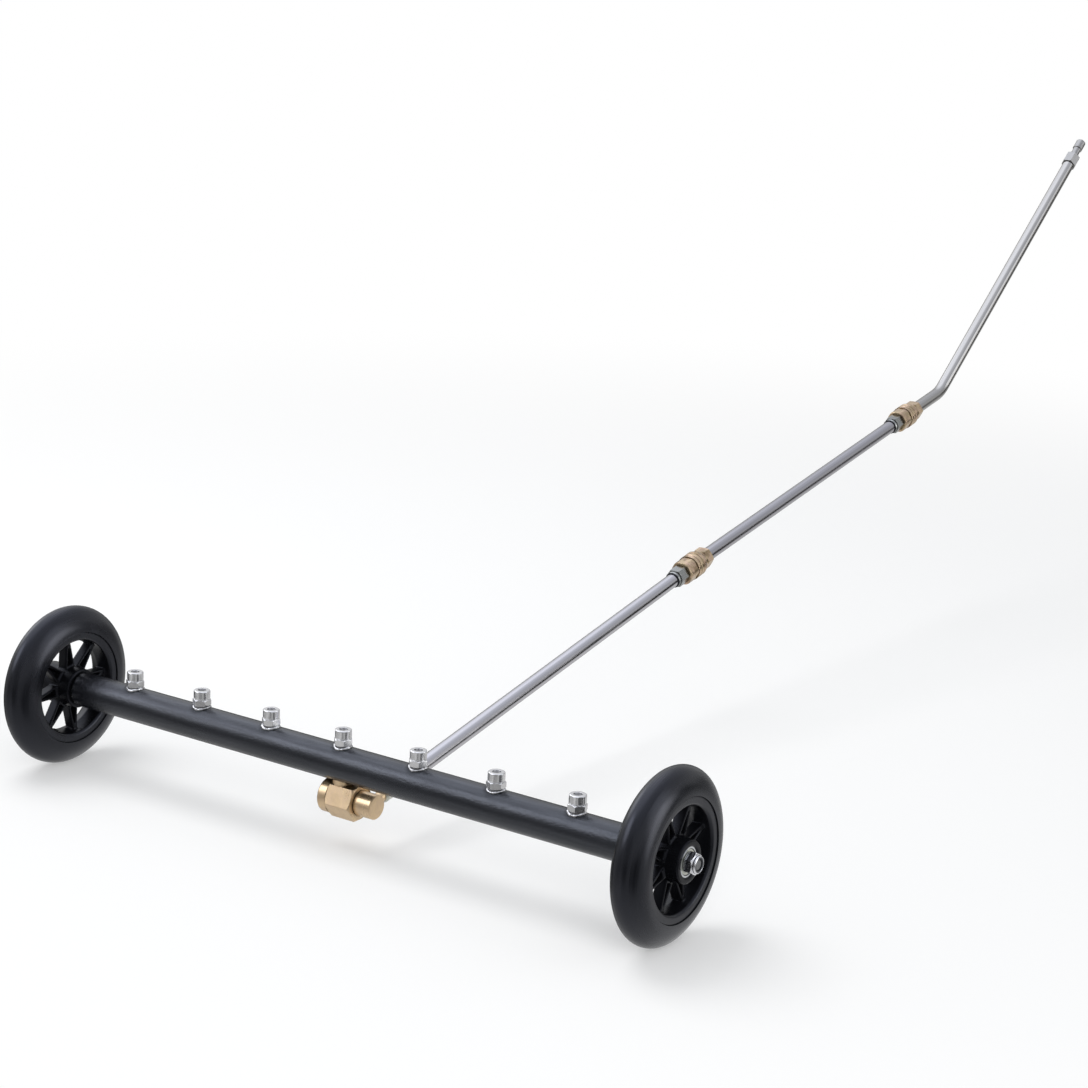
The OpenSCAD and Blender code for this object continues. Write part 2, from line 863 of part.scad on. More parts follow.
// Steel end fitting: collar round the tube, groove, hexagon and threaded spigot
module hex_fitting() {
    collar_start = fitting_back - fitting_collar_l;
    difference() {
        union() {
            turned([
                [0, collar_start],
                [tube_r + 0.3, collar_start],
                [fitting_collar_r - 0.2, fitting_back - 1.6],
                [fitting_collar_r, fitting_back - 1.4],
                [fitting_collar_r, fitting_back - 0.9],
                [tube_r + 0.9, fitting_back - 0.9],
                [tube_r + 0.9, fitting_back],
                [0, fitting_back]
            ]);
            translate([0, 0, fitting_back]) chamfered_hexagon(fitting_af, -fitting_back, true, false);
            cylinder(r = spigot_r, h = spigot_l - 1);
            translate([0, 0, spigot_l - 1]) cylinder(r1 = spigot_r, r2 = spigot_r - 0.8, h = 1);
        }
        translate([0, 0, collar_start - over])
            cylinder(r = tube_r, h = fitting_collar_l + socket_depth + over);
        translate([0, 0, collar_start]) cylinder(r = coupler_bore_r, h = 4 * spigot_l);
        translate([0, 0, nose_tip - 0.4]) cylinder(r = nose_r + running, h = spigot_l);
    }
}

module hex_fitting_lower() {
    color("#b9bcba") on_lower(lower_coupler) hex_fitting();
}

module hex_fitting_upper() {
    color("#b9bcba") on_middle(upper_coupler) hex_fitting();
}

// Brass union nut: hexagonal front ring, wide turned grip and a tapered back
module coupler_nut() {
    front_af = 23.6;
    front_r = 12.5;
    grip_r = 13.15;
    back_r = 11;
    groove_r = 11.6;
    difference() {
        union() {
            intersection() {
                hexagon(front_af, nut_ring_l);
                turned([
                    [0, 0],
                    [front_r - 1, 0],
                    [front_r, 1],
                    [front_r, nut_ring_l],
                    [0, nut_ring_l]
                ]);
            }
            turned([
                [0, nut_ring_l - 1.2],
                [groove_r, nut_ring_l - 1.2],
                [groove_r, nut_ring_l + 0.4],
                [grip_r - 0.4, nut_ring_l + 0.4],
                [grip_r, nut_ring_l + 0.8],
                [grip_r, nut_ring_l + 4.4],
                [grip_r - 0.7, nut_ring_l + 4.9],
                [grip_r - 0.7, nut_ring_l + 5.5],
                [grip_r, nut_ring_l + 6],
                [grip_r, nut_ring_l + 9.6],
                [grip_r - 0.7, nut_ring_l + 10.1],
                [grip_r - 0.7, nut_ring_l + 10.7],
                [grip_r, nut_ring_l + 11.2],
                [grip_r, nut_ring_l + 14.4],
                [grip_r - 0.6, nut_ring_l + 15],
                [back_r, nut_l],
                [0, nut_l]
            ]);
        }
        translate([0, 0, -over]) cylinder(r = spigot_r + running, h = nut_l - nut_rim);
        translate([0, 0, spigot_l + 0.5])
            cylinder(r = spigot_r + 0.7, h = nut_l - nut_rim - spigot_l - 0.5);
        translate([0, 0, spigot_l]) cylinder(r = tail_stem_r + 0.1, h = nut_l);
    }
}

module coupler_nut_lower() {
    color("#c9a566") on_lower(lower_coupler) coupler_nut();
}

module coupler_nut_upper() {
    color("#c9a566") on_middle(upper_coupler) coupler_nut();
}

// Brass tail: sealed nose, flange held by the nut, waist, hexagon and tube socket
module coupler_tail() {
    flange = [nut_l - nut_rim - 4, nut_l - nut_rim - 0.3];
    seal_groove = [nose_tip + 1.2, nose_tip + 3.2];
    difference() {
        union() {
            turned([
                [0, nose_tip],
                [nose_r - 0.4, nose_tip],
                [nose_r, nose_tip + 0.4],
                [nose_r, seal_groove[0]],
                [nose_r - 1.4, seal_groove[0]],
                [nose_r - 1.4, seal_groove[1]],
                [nose_r, seal_groove[1]],
                [nose_r, spigot_l + 0.3],
                [tail_stem_r, spigot_l + 0.3],
                [tail_stem_r, flange[0]],
                [spigot_r + 0.3, flange[0]],
                [spigot_r + 0.3, flange[1]],
                [tail_stem_r, flange[1]],
                [tail_stem_r, tail_start],
                [tail_waist_r, tail_start],
                [tail_waist_r, tail_hex],
                [0, tail_hex]
            ]);
            translate([0, 0, tail_hex]) chamfered_hexagon(tail_af, tail_end - tail_hex, true, true);
        }
        translate([0, 0, tail_end - socket_depth]) cylinder(r = tube_r, h = 2 * socket_depth);
        translate([0, 0, nose_tip - over]) cylinder(r = coupler_bore_r - 0.5, h = tail_end);
    }
}

module coupler_tail_lower() {
    color("#c9a566") on_lower(lower_coupler) coupler_tail();
}

module coupler_tail_upper() {
    color("#c9a566") on_middle(upper_coupler) coupler_tail();
}

module coupler_seal() {
    translate([0, 0, nose_tip + 2.2]) o_ring(nose_r - 0.69, 0.68);
}

module coupler_seal_lower() {
    color("#1d1d1f") on_lower(lower_coupler) coupler_seal();
}

module coupler_seal_upper() {
    color("#1d1d1f") on_middle(upper_coupler) coupler_seal();
}

// Plug for a quick coupling: hexagon, locking neck and sealing nose
module quick_plug() {
    nose_start = plug_hex_end + plug_neck_l;
    color("#c6c7ca") on_upper(0) difference() {
        union() {
            translate([0, 0, plug_hex_start])
                chamfered_hexagon(plug_af, plug_hex_end - plug_hex_start, true, true);
            turned([
                [0, plug_hex_end - 1],
                [plug_neck_r + 1.2, plug_hex_end - 1],
                [plug_neck_r + 1.2, plug_hex_end + 0.6],
                [plug_neck_r, plug_hex_end + 2.2],
                [plug_neck_r, nose_start - 1.2],
                [plug_nose_r, nose_start],
                [plug_nose_r, -plug_chamfer],
                [plug_nose_r - plug_chamfer, 0],
                [0, 0]
            ]);
        }
        translate([0, 0, plug_hex_start - over]) cylinder(r = tube_r, h = socket_depth + over);
        translate([0, 0, plug_hex_start]) cylinder(r = plug_bore_r, h = 3 * socket_depth + 2 * over + 20);
    }
}

manifold_bar();
end_plugs();
nozzle_bungs();
spray_nozzles();
orifice_inserts();
inlet_bung();
inlet_nipple();
swivel_body();
swivel_end_cap();
axle_studs();
bearing_spacers();
bearing_inner_races();
axle_nuts();
nut_inserts();
rim_left();
tyre_left();
outer_races_left();
bearing_shields_left();
bearing_balls_left();
ball_cages_left();
rim_right();
tyre_right();
outer_races_right();
bearing_shields_right();
bearing_balls_right();
ball_cages_right();
swivel_stem();
swivel_seals();
swivel_washer();
swivel_clip();
wand_foot();
wand_tube_lower();
hex_fitting_lower();
coupler_nut_lower();
coupler_tail_lower();
coupler_seal_lower();
wand_tube_middle();
hex_fitting_upper();
coupler_nut_upper();
coupler_tail_upper();
coupler_seal_upper();
wand_tube_upper();
quick_plug();
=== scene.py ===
import json
import math
import random

import bmesh
import bpy
from mathutils import Matrix, Vector


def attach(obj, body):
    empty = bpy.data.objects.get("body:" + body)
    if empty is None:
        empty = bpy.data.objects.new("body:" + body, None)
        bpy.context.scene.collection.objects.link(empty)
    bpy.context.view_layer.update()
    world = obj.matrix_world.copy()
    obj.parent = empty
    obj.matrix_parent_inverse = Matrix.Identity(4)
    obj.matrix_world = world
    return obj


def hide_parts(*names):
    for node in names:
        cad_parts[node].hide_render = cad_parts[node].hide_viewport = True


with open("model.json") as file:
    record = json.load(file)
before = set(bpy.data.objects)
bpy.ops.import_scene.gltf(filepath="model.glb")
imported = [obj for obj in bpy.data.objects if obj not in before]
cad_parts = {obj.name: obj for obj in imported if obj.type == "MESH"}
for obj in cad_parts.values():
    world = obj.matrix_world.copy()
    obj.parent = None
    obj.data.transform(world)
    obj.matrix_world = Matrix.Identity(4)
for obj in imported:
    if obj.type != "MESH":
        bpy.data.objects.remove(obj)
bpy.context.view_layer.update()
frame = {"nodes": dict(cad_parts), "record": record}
nodes = frame["nodes"]
record = frame["record"]
scene = bpy.context.scene

BODY_OF = {node: body for body, members in record["behaviour"]["bodies"].items() for node in members}

# ------------------------------------------------------------------ frame values, metres and radians
AXLE_Y = -0.689540
AXLE_Z = 0.075
BAR_R = 0.016
NOZZLE_PITCH = 0.0812
NOZZLE_COUNT = 7
BUNG_R = 0.0063

# the wand: it starts on the swivel's axis, and its couplers' stations are measured along it from there
SWIVEL_Y = -0.685136
SWIVEL_Z = 0.041549
WAND_X = 0.0265
TUBE_R = 0.007
LOWER_RISE = math.radians(11.9)
MIDDLE_RISE = math.radians(10.65)
UPPER_RISE = math.radians(37.5)
LOWER_COUPLER = 0.5203
SET_STATION = 0.574  # where the rise changes from the lower to the middle tube's
UPPER_COUPLER = 0.9973
COLLAR_REACH = 0.0170  # from a coupler back to the mouth of its hexagon fitting
ELBOW_Y = 0.4018
ELBOW_HALF = 0.015  # half of the stretch in Y over which the upper tube's lines turn

# beads: the radius of the circle they follow, and of their own section
WELD_R = BUNG_R + 0.0006
WELD_BEAD_R = 0.00135
BRAZE_REACH = 0.0162  # from the swivel's axis towards the bar
BRAZE_R = 0.0080
BRAZE_BEAD_R = 0.0014
# the thin dark rings where the screwed tubes enter their hexagon fittings
DARK_RING_R = TUBE_R + 0.0001
DARK_RING_BEAD_R = 0.0009

# distances from a nozzle's axis or the wheels' axle line between which a material changes, each the edge of
# a painted shade
WELD_SHADE_SPAN = (0.0075, 0.0125)
SHIELD_INNER_EDGE = (0.0083, 0.0086)
SHIELD_OUTER_EDGE = (0.0104, 0.0108)
FLANGE_EDGE = (0.0440, 0.0465)

BEVEL_WIDTHS = {
    "spray_nozzles": 0.00025,
    "nozzle_bungs": 0.0002,
    "swivel_body": 0.0004,
    "swivel_end_cap": 0.0003,
    "axle_nuts": 0.0003,
    "axle_studs": 0.0008,
    "hex_fitting_lower": 0.00025,
    "hex_fitting_upper": 0.00025,
    "coupler_nut_lower": 0.0003,
    "coupler_nut_upper": 0.0003,
    "quick_plug": 0.00025,
}


# ------------------------------------------------------------------ camera
def make_camera(azimuth, elevation, roll, place, lens):
    """A camera that looks back from an azimuth and elevation, rolled about its own line of sight."""
    camera = bpy.data.objects.new("camera", bpy.data.cameras.new("camera"))
    scene.collection.objects.link(camera)
    scene.camera = camera
    level = math.cos(elevation)
    back = Vector((math.sin(azimuth) * level, -math.cos(azimuth) * level, math.sin(elevation)))
    right = Vector((math.cos(azimuth), math.sin(azimuth), 0))
    up = back.cross(right)
    rolled_right = right * math.cos(roll) + up * math.sin(roll)
    rolled_up = up * math.cos(roll) - right * math.sin(roll)
    turn = Matrix((rolled_right, rolled_up, back)).transposed().to_4x4()
    camera.matrix_world = Matrix.Translation(place) @ turn
    camera.data.sensor_width = 36
    camera.data.lens = lens
    camera.data.clip_end = 100


make_camera(
    azimuth=math.radians(33.642),
    elevation=math.radians(14.451),
    roll=math.radians(2.7225),
    place=(1.29423, -2.33580, 0.81763),
    lens=84.19,
)


# ------------------------------------------------------------------ node helpers
class Graph:
    """Builds the nodes of a material or world. Most calls add one node and return its output."""

    def __init__(self, owner):
        owner.use_nodes = True
        self.tree = owner.node_tree
        self.place = None

    def add(self, kind, **settings):
        node = self.tree.nodes.new(kind)
        for key, value in settings.items():
            setattr(node, key, value)
        return node

    def put(self, socket, value):
        if isinstance(value, bpy.types.NodeSocket):
            self.tree.links.new(value, socket)
        elif isinstance(value, (tuple, list)) and len(value) == 3 and socket.type == "RGBA":
            socket.default_value = (*value, 1)
        else:
            socket.default_value = value

    def mapped(self, frequency, rotation=(0, 0, 0)):
        """The place in a frame turned by rotation, times a frequency along each of that frame's axes."""
        node = self.add("ShaderNodeMapping", vector_type="TEXTURE")
        self.put(node.inputs["Vector"], self.place)
        node.inputs["Rotation"].default_value = rotation
        node.inputs["Scale"].default_value = tuple(1 / f for f in frequency)
        return node.outputs["Vector"]

    def noise(self, vector, scale, detail=3, roughness=0.5):
        node = self.add("ShaderNodeTexNoise")
        self.put(node.inputs["Vector"], vector)
        node.inputs["Scale"].default_value = scale
        node.inputs["Detail"].default_value = detail
        node.inputs["Roughness"].default_value = roughness
        return node.outputs["Fac"]

    def span(self, value, low, high, to_low, to_high, smooth=False):
        """The value's range from low to high, spread from to_low to to_high and held there outside it."""
        node = self.add("ShaderNodeMapRange", interpolation_type="SMOOTHSTEP" if smooth else "LINEAR")
        self.put(node.inputs["Value"], value)
        for key, number in (("From Min", low), ("From Max", high), ("To Min", to_low), ("To Max", to_high)):
            node.inputs[key].default_value = number
        return node.outputs["Result"]

    def vary(self, noise, low, high):
        """A value that follows the usual range of a noise from low to high."""
        return self.span(noise, 0.3, 0.7, low, high)

    def math(self, operation, a, b=0.0):
        node = self.add("ShaderNodeMath", operation=operation)
        self.put(node.inputs[0], a)
        self.put(node.inputs[1], b)
        return node.outputs[0]

    def vector(self, operation, a, b=None):
        node = self.add("ShaderNodeVectorMath", operation=operation)
        self.put(node.inputs[0], a)
        if b is not None:
            self.put(node.inputs[1], b)
        return node.outputs["Value" if operation in ("DOT_PRODUCT", "LENGTH", "DISTANCE") else "Vector"]

    def mix(self, factor, a, b):
        node = self.add("ShaderNodeMix", data_type="RGBA")
        self.put(node.inputs["Factor"], factor)
        self.put(node.inputs["A"], a)
        self.put(node.inputs["B"], b)
        return node.outputs["Result"]

    def axis(self, name):
        node = self.add("ShaderNodeSeparateXYZ")
        self.put(node.inputs[0], self.place)
        return node.outputs[name]

    def background(self, color, strength=1.0):
        node = self.add("ShaderNodeBackground")
        self.put(node.inputs["Color"], color)
        self.put(node.inputs["Strength"], strength)
        return node.outputs[0]

    def rays(self):
        """Two factors: 1 for the camera's own rays, and 1 for rays that come by way of a shiny surface."""
        seen = self.add("ShaderNodeLightPath").outputs
        from_shiny = self.math("MAXIMUM", seen["Is Glossy Ray"], seen["Is Transmission Ray"])
        return seen["Is Camera Ray"], from_shiny

    def layered(self, shader, *layers):
        """A shader with others laid over it in turn, each given as (factor, shader)."""
        for factor, over in layers:
            blend = self.add("ShaderNodeMixShader")
            self.put(blend.inputs[0], factor)
            self.put(blend.inputs[1], shader)
            self.put(blend.inputs[2], over)
            shader = blend.outputs[0]
        return shader


class Finish(Graph):
    """A material's graph, with its shader and the place on the object in metres."""

    def __init__(self, name):
        self.material = bpy.data.materials.new(name)
        super().__init__(self.material)
        self.shader = self.tree.nodes["Principled BSDF"]
        self.place = self.add("ShaderNodeTexCoord").outputs["Object"]
        self.normal = None

    def set(self, **values):
        for key, value in values.items():
            self.put(self.shader.inputs[key.replace("_", " ")], value)

    def bump(self, height, strength, distance):
        """Relief on top of the relief of earlier calls."""
        node = self.add("ShaderNodeBump")
        self.put(node.inputs["Height"], height)
        node.inputs["Strength"].default_value = strength
        node.inputs["Distance"].default_value = distance
        if self.normal is not None:
            self.put(node.inputs["Normal"], self.normal)
        self.normal = node.outputs["Normal"]
        self.put(self.shader.inputs["Normal"], self.normal)

    def tinted(self, factor, color, low, high):
        """A colour that varies between two brightness factors of itself."""
        return self.mix(factor, tuple(c * low for c in color), tuple(c * high for c in color))

    def shade_in_hollows(self, tone, color, reach, most):
        """The tone, taken towards a colour where other surfaces within reach close it in: painted shade in
        hollows and inside corners.
        """
        openness = self.add("ShaderNodeAmbientOcclusion", samples=8)
        openness.inputs["Distance"].default_value = reach
        factor = self.span(openness.outputs["AO"], 0.35, 0.85, most, 0.0, smooth=True)
        return self.mix(factor, tone, color)

    def from_axle(self):
        """The distance from the wheels' axle line."""
        flat = self.vector("MULTIPLY", self.place, (0, 1, 1))
        return self.vector("DISTANCE", flat, (0, AXLE_Y, AXLE_Z))

    def from_nozzle(self):
        """The distance from the upright axis of the nearest nozzle."""
        column = self.math("ROUND", self.math("DIVIDE", self.axis("X"), NOZZLE_PITCH))
        beside = self.math("SUBTRACT", self.axis("X"), self.math("MULTIPLY", column, NOZZLE_PITCH))
        behind = self.math("SUBTRACT", self.axis("Y"), AXLE_Y)
        squares = [self.math("MULTIPLY", side, side) for side in (beside, behind)]
        return self.math("SQRT", self.math("ADD", *squares))


# ------------------------------------------------------------------ materials
def powder_coat():
    """Satin black powder coat: orange-peel surface with an uneven sheen, turned down round the nozzles'
    welds as painted shade.
    """
    g = Finish("powder_coat_black")
    peel = g.noise(g.place, 620, 2)
    broad = g.noise(g.place, 22, 4, 0.6)
    streaks = g.noise(g.mapped((14, 240, 240)), 1, 3, 0.6)
    speckle = g.span(g.noise(g.place, 1500, 1), 0.56, 0.70, 0.0, 0.35)
    # painted shade: less sheen round each nozzle's weld, for the nozzle's shadow and dark reflection on the
    # bar
    painted_shade_round_welds = g.span(g.from_nozzle(), *WELD_SHADE_SPAN, 0.25, 0.72, smooth=True)
    paint = g.tinted(broad, (0.0065, 0.007, 0.009), 0.8, 1.25)
    g.set(
        Base_Color=g.mix(speckle, paint, (0.030, 0.033, 0.040)),
        Roughness=g.math("ADD", g.vary(broad, 0.19, 0.25), g.vary(streaks, 0.03, -0.03)),
        Specular_IOR_Level=g.math("MULTIPLY", painted_shade_round_welds, g.vary(streaks, 0.72, 1.28)),
        Specular_Tint=(0.84, 0.89, 1.0),
    )
    g.bump(peel, 0.75, 0.0004)
    return g.material


def turned_metal(name, color, rough, turn=(0, 0, 0), ring=1700, grain=0.12, dents=0.12, metallic=1.0,
                 stain=None, stained=0.0, grime_and_shade=None, hollow_shade=0.9, hollow=0.0035, film=0.0):
    """Metal from the lathe: fine rings about the axis that turn brings Z to, and soft dents.

    A stain comes in patches up to the factor stained. The colour grime_and_shade comes as painted shade in
    hollows of a given width, up to the factor hollow_shade, and as dirt in patches on the open surface, up
    to the factor film.
    """
    g = Finish(name)
    rings = g.noise(g.mapped((10, 10, ring), turn), 1, 2)
    broad = g.noise(g.place, 75, 4, 0.6)
    soft = g.noise(g.place, 150, 2)
    tone = g.tinted(broad, color, 0.84, 1.12)
    if stain:
        patches = g.span(g.noise(g.place, 130, 3, 0.65), 0.42, 0.62, 0.0, stained, smooth=True)
        tone = g.mix(patches, tone, stain)
    if grime_and_shade:
        handled = g.span(g.noise(g.place, 105, 2, 0.4), 0.47, 0.66, 0.0, film, smooth=True)
        # painted shade: the tone goes towards the dark colour in hollows and inside corners, where shade
        # falls; the patches before it are dirt
        tone = g.shade_in_hollows(g.mix(handled, tone, grime_and_shade), grime_and_shade, hollow, hollow_shade)
    uneven = g.span(broad, 0.35, 0.65, -0.03, 0.04)
    g.set(
        Base_Color=tone,
        Metallic=metallic,
        Roughness=g.math("ADD", g.vary(rings, rough, rough + 0.08), uneven),
    )
    g.bump(soft, dents, 0.0006)
    g.bump(rings, grain, 0.00006)
    return g.material


def coupler_brass(name, rise, film):
    """The union nuts' brass, with pinkish stains, with dirt in patches, and with painted shade in its
    grooves.
    """
    return turned_metal(name, (0.60, 0.47, 0.30), 0.16, along_tube(rise), dents=0.35, metallic=0.92,
                        stain=PINK_STAIN, stained=0.9, grime_and_shade=BRASS_GRIME_AND_SHADE, film=film)


def bearing_shield():
    """Pressed shield ring: a greenish step, with painted shade at its rims for the dark gaps beside the
    races.
    """
    g = Finish("bearing_shield")
    r = g.from_axle()
    # painted shade: near-black at both rims of the shield, where the gaps beside the races lie in shade
    outer_gap_shade = g.span(r, *SHIELD_OUTER_EDGE, 0.0, 1.0, smooth=True)
    inner_gap_shade = g.span(r, *SHIELD_INNER_EDGE, 1.0, 0.0, smooth=True)
    broad = g.noise(g.place, 140, 3)
    step = g.tinted(broad, (0.62, 0.63, 0.57), 0.85, 1.1)
    g.set(
        Base_Color=g.mix(g.math("MAXIMUM", outer_gap_shade, inner_gap_shade), step, (0.03, 0.03, 0.035)),
        Metallic=0.7,
        Roughness=g.vary(broad, 0.26, 0.36),
    )
    g.bump(g.noise(g.place, 500, 2), 0.15, 0.0002)
    return g.material


def drawn_tube(name, color, rough, rise, elbow=None, rise_after=None):
    """Stainless tube with fine polishing lines along it, which turn at its elbow if it has one."""
    g = Finish(name)

    def straight_lines(angle, fine, long):
        return g.noise(g.mapped((fine, long, fine), (angle, 0, 0)), 1, 3)

    def lines(fine, long):
        """Lines with a frequency across the tube, fine, and one along it, long."""
        if elbow is None:
            return straight_lines(rise, fine, long)
        after = g.span(g.axis("Y"), elbow - ELBOW_HALF, elbow + ELBOW_HALF, 0.0, 1.0)
        before = g.math("SUBTRACT", 1.0, after)
        lower = g.math("MULTIPLY", straight_lines(rise, fine, long), before)
        return g.math("ADD", lower, g.math("MULTIPLY", straight_lines(rise_after, fine, long), after))

    hairlines = lines(1300, 14)
    bands = lines(420, 5)
    broad = g.noise(g.place, 30, 3)
    g.set(
        Base_Color=g.tinted(bands, color, 0.86, 1.12),
        Metallic=1.0,
        Roughness=g.math("ADD", g.vary(hairlines, rough - 0.03, rough + 0.05), g.vary(broad, -0.02, 0.02)),
    )
    g.bump(bands, 0.10, 0.0001)
    g.bump(hairlines, 0.10, 0.00005)
    return g.material


def moulded_plastic(name, color, shades, rough):
    """Moulded plastic with a fine grain. Broad flow marks vary its shade and roughness over two ranges."""
    g = Finish(name)
    flow = g.noise(g.place, 28, 4, 0.6)
    g.set(Base_Color=g.tinted(flow, color, *shades), Roughness=g.vary(flow, *rough), Specular_IOR_Level=0.5)
    g.bump(g.noise(g.place, 700, 2), 0.2, 0.00025)
    return g


def plain_nylon(name, color):
    return moulded_plastic(name, color, (0.85, 1.18), (0.37, 0.48)).material


def wheel_rim():
    """The rims' nylon: satin on the flange beside the tyre, with its sheen turned down on spokes and hub as
    painted shade.
    """
    g = moulded_plastic("rim_nylon_black", (0.0036, 0.0038, 0.0048), (0.85, 1.3), (0.24, 0.33))
    # painted shade: the sheen drops from the flange inwards, where spokes and hub lie in the wheel's own
    # shade
    g.set(
        Specular_IOR_Level=g.span(g.from_axle(), *FLANGE_EDGE, 0.17, 0.48, smooth=True),
        Specular_Tint=(0.80, 0.84, 1.0),
    )
    return g.material


def solid_rubber(name, color, rough):
    """Moulded rubber: fine grain, faint streaks round the tyre and a slight bloom."""
    g = Finish(name)
    broad = g.noise(g.place, 20, 4, 0.6)
    streaks = g.noise(g.mapped((900, 35, 35)), 1, 3)
    fine = g.noise(g.place, 1200, 2)
    g.set(
        Base_Color=g.tinted(g.math("MULTIPLY", broad, streaks), color, 0.7, 2.2),
        Roughness=g.math("ADD", g.vary(broad, rough - 0.04, rough + 0.05), g.vary(streaks, -0.03, 0.03)),
        Specular_IOR_Level=0.46,
        Specular_Tint=(0.82, 0.85, 1.0),
        Sheen_Weight=0.04,
        Sheen_Roughness=0.4,
        Sheen_Tint=(0.80, 0.88, 1.0),
    )
    g.bump(streaks, 0.08, 0.0003)
    g.bump(fine, 0.14, 0.0002)
    return g.material


def along_tube(rise):
    """The turn that brings Z to a tube's own direction."""
    return (rise - math.radians(90), 0, 0)


ALONG_X = (0, math.radians(90), 0)
PINK_STAIN = (0.64, 0.46, 0.34)
# dark colours for turned metals: dirt in patches on open faces, and painted shade in hollows
BRASS_GRIME_AND_SHADE = (0.12, 0.072, 0.024)
STEEL_GRIME_AND_SHADE = (0.03, 0.03, 0.028)

black_steel = powder_coat()
nozzle_steel = turned_metal("nozzle_stainless", (0.76, 0.76, 0.77), 0.11, metallic=0.88)
weld_steel = turned_metal("weld_stainless", (0.66, 0.66, 0.67), 0.22, ring=400, grain=0.7, dents=1.0)
bung_steel = turned_metal("bung_steel", (0.24, 0.24, 0.245), 0.30)
insert_steel = turned_metal("insert_steel", (0.42, 0.42, 0.43), 0.26)
swivel_brass = turned_metal("swivel_brass", (0.80, 0.60, 0.375), 0.27, ALONG_X, metallic=0.84,
                            stain=PINK_STAIN, stained=0.3, grime_and_shade=BRASS_GRIME_AND_SHADE, hollow=0.006, film=0.10)
lower_brass = coupler_brass("coupler_brass_lower", LOWER_RISE, film=0.5)
upper_brass = coupler_brass("coupler_brass_upper", MIDDLE_RISE, film=0.28)
zinc = turned_metal("bright_zinc", (0.84, 0.85, 0.88), 0.11, ALONG_X)
bearing_steel = turned_metal("bearing_steel", (0.66, 0.68, 0.70), 0.14, ALONG_X)
shield_steel = bearing_shield()
stud_steel = turned_metal("stud_steel", (0.22, 0.225, 0.23), 0.26, ALONG_X)
foot_steel = turned_metal("foot_steel", (0.60, 0.60, 0.53), 0.24, along_tube(LOWER_RISE))
fitting_steel = turned_metal("fitting_steel", (0.33, 0.34, 0.33), 0.20, along_tube(LOWER_RISE),
                             grime_and_shade=STEEL_GRIME_AND_SHADE)
plug_steel = turned_metal("plug_steel", (0.35, 0.347, 0.34), 0.26, along_tube(UPPER_RISE),
                          grime_and_shade=STEEL_GRIME_AND_SHADE, hollow_shade=0.7)
nylon = plain_nylon("nylon_natural", (0.70, 0.70, 0.66))
dark_nylon = plain_nylon("nylon_dark", (0.02, 0.022, 0.028))
rim_plastic = wheel_rim()
tyre_rubber = solid_rubber("tyre_rubber_black", (0.0046, 0.0050, 0.0064), 0.24)
seal_rubber = solid_rubber("seal_rubber_black", (0.006, 0.006, 0.006), 0.6)
lower_tube = drawn_tube("stainless_lower", (0.52, 0.515, 0.54), 0.16, LOWER_RISE)
middle_tube = drawn_tube("stainless_middle", (0.43, 0.425, 0.45), 0.16, MIDDLE_RISE)
upper_tube = drawn_tube("stainless_upper", (0.44, 0.432, 0.42), 0.15, MIDDLE_RISE, ELBOW_Y, UPPER_RISE)

LOOKS = {
    black_steel: ["manifold_bar", "end_plugs"],
    nozzle_steel: ["spray_nozzles"],
    bung_steel: ["nozzle_bungs"],
    insert_steel: ["orifice_inserts"],
    swivel_brass: ["inlet_bung", "inlet_nipple", "swivel_body", "swivel_end_cap", "swivel_stem"],
    lower_brass: ["coupler_nut_lower", "coupler_tail_lower"],
    upper_brass: ["coupler_nut_upper", "coupler_tail_upper"],
    zinc: ["bearing_spacers", "axle_nuts", "swivel_clip"],
    stud_steel: ["axle_studs"],
    foot_steel: ["wand_foot"],
    bearing_steel: ["bearing_inner_races", "outer_races_left", "outer_races_right", "bearing_balls_left",
                    "bearing_balls_right"],
    shield_steel: ["bearing_shields_left", "bearing_shields_right"],
    nylon: ["ball_cages_left", "ball_cages_right", "swivel_washer"],
    dark_nylon: ["nut_inserts"],
    rim_plastic: ["rim_left", "rim_right"],
    tyre_rubber: ["tyre_left", "tyre_right"],
    seal_rubber: ["swivel_seals", "coupler_seal_lower", "coupler_seal_upper"],
    lower_tube: ["wand_tube_lower"],
    middle_tube: ["wand_tube_middle"],
    upper_tube: ["wand_tube_upper"],
    fitting_steel: ["hex_fitting_lower", "hex_fitting_upper"],
    plug_steel: ["quick_plug"],
}
for material, names in LOOKS.items():
    for name in names:
        nodes[name].material_slots[0].material = material


# ------------------------------------------------------------------ pieces that replace or join CAD nodes
def add_piece(name, mesh, body, material):
    piece = bpy.data.objects.new(name, mesh)
    scene.collection.objects.link(piece)
    mesh.materials.clear()
    mesh.materials.append(material)
    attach(piece, body)
    return piece


def copy_of(node, name):
    """A new piece with the node's own mesh, welded at its seams, which stands for the node."""
    mesh = nodes[node].data.copy()
    bm = bmesh.new()
    bm.from_mesh(mesh)
    bmesh.ops.remove_doubles(bm, verts=bm.verts, dist=2e-6)
    bm.to_mesh(mesh)
    bm.free()
    if "custom_normal" in mesh.attributes:
        mesh.attributes.remove(mesh.attributes["custom_normal"])
    piece = add_piece(name, mesh, BODY_OF[node], nodes[node].material_slots[0].material)
    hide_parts(node)
    return piece


def apply_modifiers(piece):
    graph = bpy.context.evaluated_depsgraph_get()
    mesh = bpy.data.meshes.new_from_object(piece.evaluated_get(graph))
    piece.modifiers.clear()
    piece.data = mesh


